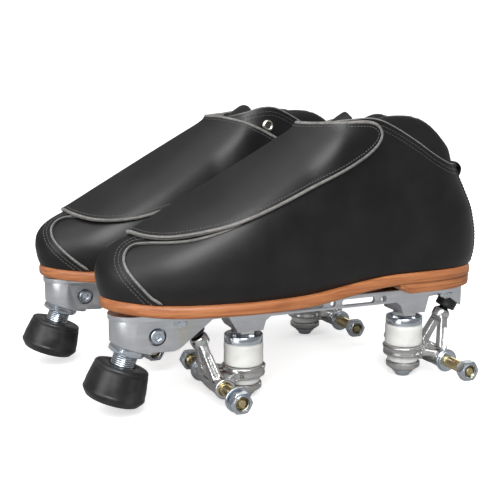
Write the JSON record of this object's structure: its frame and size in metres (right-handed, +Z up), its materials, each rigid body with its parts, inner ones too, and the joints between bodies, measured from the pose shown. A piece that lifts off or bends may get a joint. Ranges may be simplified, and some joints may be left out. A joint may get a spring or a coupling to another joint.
{
  "type": "quad roller skates",
  "caption": "Pair of low-cut black leather quad roller skates on alloy plates with steering trucks, adjustable toe stops and opening instep flaps, shown without wheels.",
  "frame": {"origin": "centre of the pair's bounding box at the floor the kingpins stand on", "axes": "+Z up, toes toward -Y, the left skate at +X"},
  "size_m": [0.2326, 0.306, 0.1915],
  "materials": {
    "upper_leather": "smooth satin black",
    "sole_leather": "tan stacked leather edge",
    "plate_alloy": "satin",
    "polished_alloy": "polished cast",
    "zinc_steel": "bright zinc plated",
    "golden_zinc": "yellow zinc plated",
    "white_urethane": "translucent satin",
    "black_rubber": "semi-gloss"
  },
  "bodies": {
    "left_skate": {"left_boot_upper": "upper_leather", "left_tongue": "upper_leather", "left_outsole": "sole_leather", "left_heel_lift": "sole_leather", "left_plate": "plate_alloy", "left_pinch_bolt": "zinc_steel", "left_toe_stop_jam_nut": "zinc_steel", "left_front_kingpin": "zinc_steel", "left_front_top_retainer": "zinc_steel", "left_front_top_cushion": "white_urethane", "left_front_bottom_cushion": "white_urethane", "left_front_bottom_cup": "zinc_steel", "left_front_pivot_cup": "black_rubber", "left_rear_kingpin": "zinc_steel", "left_rear_top_retainer": "zinc_steel", "left_rear_top_cushion": "white_urethane", "left_rear_bottom_cushion": "white_urethane", "left_rear_bottom_cup": "zinc_steel", "left_rear_pivot_cup": "black_rubber"},
    "left_front_truck": {"left_front_hanger": "polished_alloy", "left_front_axle": "golden_zinc", "left_front_axle_nut_a": "zinc_steel", "left_front_axle_nut_b": "zinc_steel"},
    "left_rear_truck": {"left_rear_hanger": "polished_alloy", "left_rear_axle": "golden_zinc", "left_rear_axle_nut_a": "zinc_steel", "left_rear_axle_nut_b": "zinc_steel"},
    "left_toe_stop_unit": {"left_toe_stop": "black_rubber", "left_toe_stop_stem": "zinc_steel"},
    "left_flap": {"left_instep_flap": "upper_leather"},
    "right_skate": {"right_boot_upper": "upper_leather", "right_tongue": "upper_leather", "right_outsole": "sole_leather", "right_heel_lift": "sole_leather", "right_plate": "plate_alloy", "right_pinch_bolt": "zinc_steel", "right_toe_stop_jam_nut": "zinc_steel", "right_front_kingpin": "zinc_steel", "right_front_top_retainer": "zinc_steel", "right_front_top_cushion": "white_urethane", "right_front_bottom_cushion": "white_urethane", "right_front_bottom_cup": "zinc_steel", "right_front_pivot_cup": "black_rubber", "right_rear_kingpin": "zinc_steel", "right_rear_top_retainer": "zinc_steel", "right_rear_top_cushion": "white_urethane", "right_rear_bottom_cushion": "white_urethane", "right_rear_bottom_cup": "zinc_steel", "right_rear_pivot_cup": "black_rubber"},
    "right_front_truck": {"right_front_hanger": "polished_alloy", "right_front_axle": "golden_zinc", "right_front_axle_nut_a": "zinc_steel", "right_front_axle_nut_b": "zinc_steel"},
    "right_rear_truck": {"right_rear_hanger": "polished_alloy", "right_rear_axle": "golden_zinc", "right_rear_axle_nut_a": "zinc_steel", "right_rear_axle_nut_b": "zinc_steel"},
    "right_toe_stop_unit": {"right_toe_stop": "black_rubber", "right_toe_stop_stem": "zinc_steel"},
    "right_flap": {"right_instep_flap": "upper_leather"}
  },
  "joints": [
    {"name": "left_front_steer", "type": "hinge", "parent": "left_skate", "child": "left_front_truck", "pos_m": [0.06325, -0.06152, 0.051], "axis": [0, 0.7515, -0.6597], "range_deg": [-8, 8], "stiffness_Nm_per_rad": 15, "deforming": ["left_front_top_cushion", "left_front_bottom_cushion"]},
    {"name": "left_rear_steer", "type": "hinge", "parent": "left_skate", "child": "left_rear_truck", "pos_m": [0.06325, 0.13548, 0.051], "axis": [0, -0.7515, -0.6597], "range_deg": [-8, 8], "stiffness_Nm_per_rad": 15, "deforming": ["left_rear_top_cushion", "left_rear_bottom_cushion"]},
    {"name": "left_toe_stop_height", "type": "slide", "parent": "left_skate", "child": "left_toe_stop_unit", "axis": [0, 0.3305, 0.9438], "range_m": [-0.003, 0.006]},
    {"name": "left_flap_hinge", "type": "hinge", "parent": "left_skate", "child": "left_flap", "pos_m": [0.05905, -0.10202, 0.1171], "axis": [-0.0314, -0.874, -0.4848], "range_deg": [0, 100]},
    {"name": "right_front_steer", "type": "hinge", "parent": "right_skate", "child": "right_front_truck", "pos_m": [-0.06325, -0.07952, 0.051], "axis": [0, 0.7515, -0.6597], "range_deg": [-8, 8], "stiffness_Nm_per_rad": 15, "deforming": ["right_front_top_cushion", "right_front_bottom_cushion"]},
    {"name": "right_rear_steer", "type": "hinge", "parent": "right_skate", "child": "right_rear_truck", "pos_m": [-0.06325, 0.11748, 0.051], "axis": [0, -0.7515, -0.6597], "range_deg": [-8, 8], "stiffness_Nm_per_rad": 15, "deforming": ["right_rear_top_cushion", "right_rear_bottom_cushion"]},
    {"name": "right_toe_stop_height", "type": "slide", "parent": "right_skate", "child": "right_toe_stop_unit", "axis": [0, 0.3305, 0.9438], "range_m": [-0.003, 0.006]},
    {"name": "right_flap_hinge", "type": "hinge", "parent": "right_skate", "child": "right_flap", "pos_m": [-0.05905, -0.12002, 0.1171], "axis": [-0.0314, 0.874, 0.4848], "range_deg": [0, 100]},
    {"name": "skates_apart", "type": "slide", "parent": "left_skate", "child": "right_skate", "axis": [-1, 0, 0], "range_m": [0, 0.15]}
  ]
}
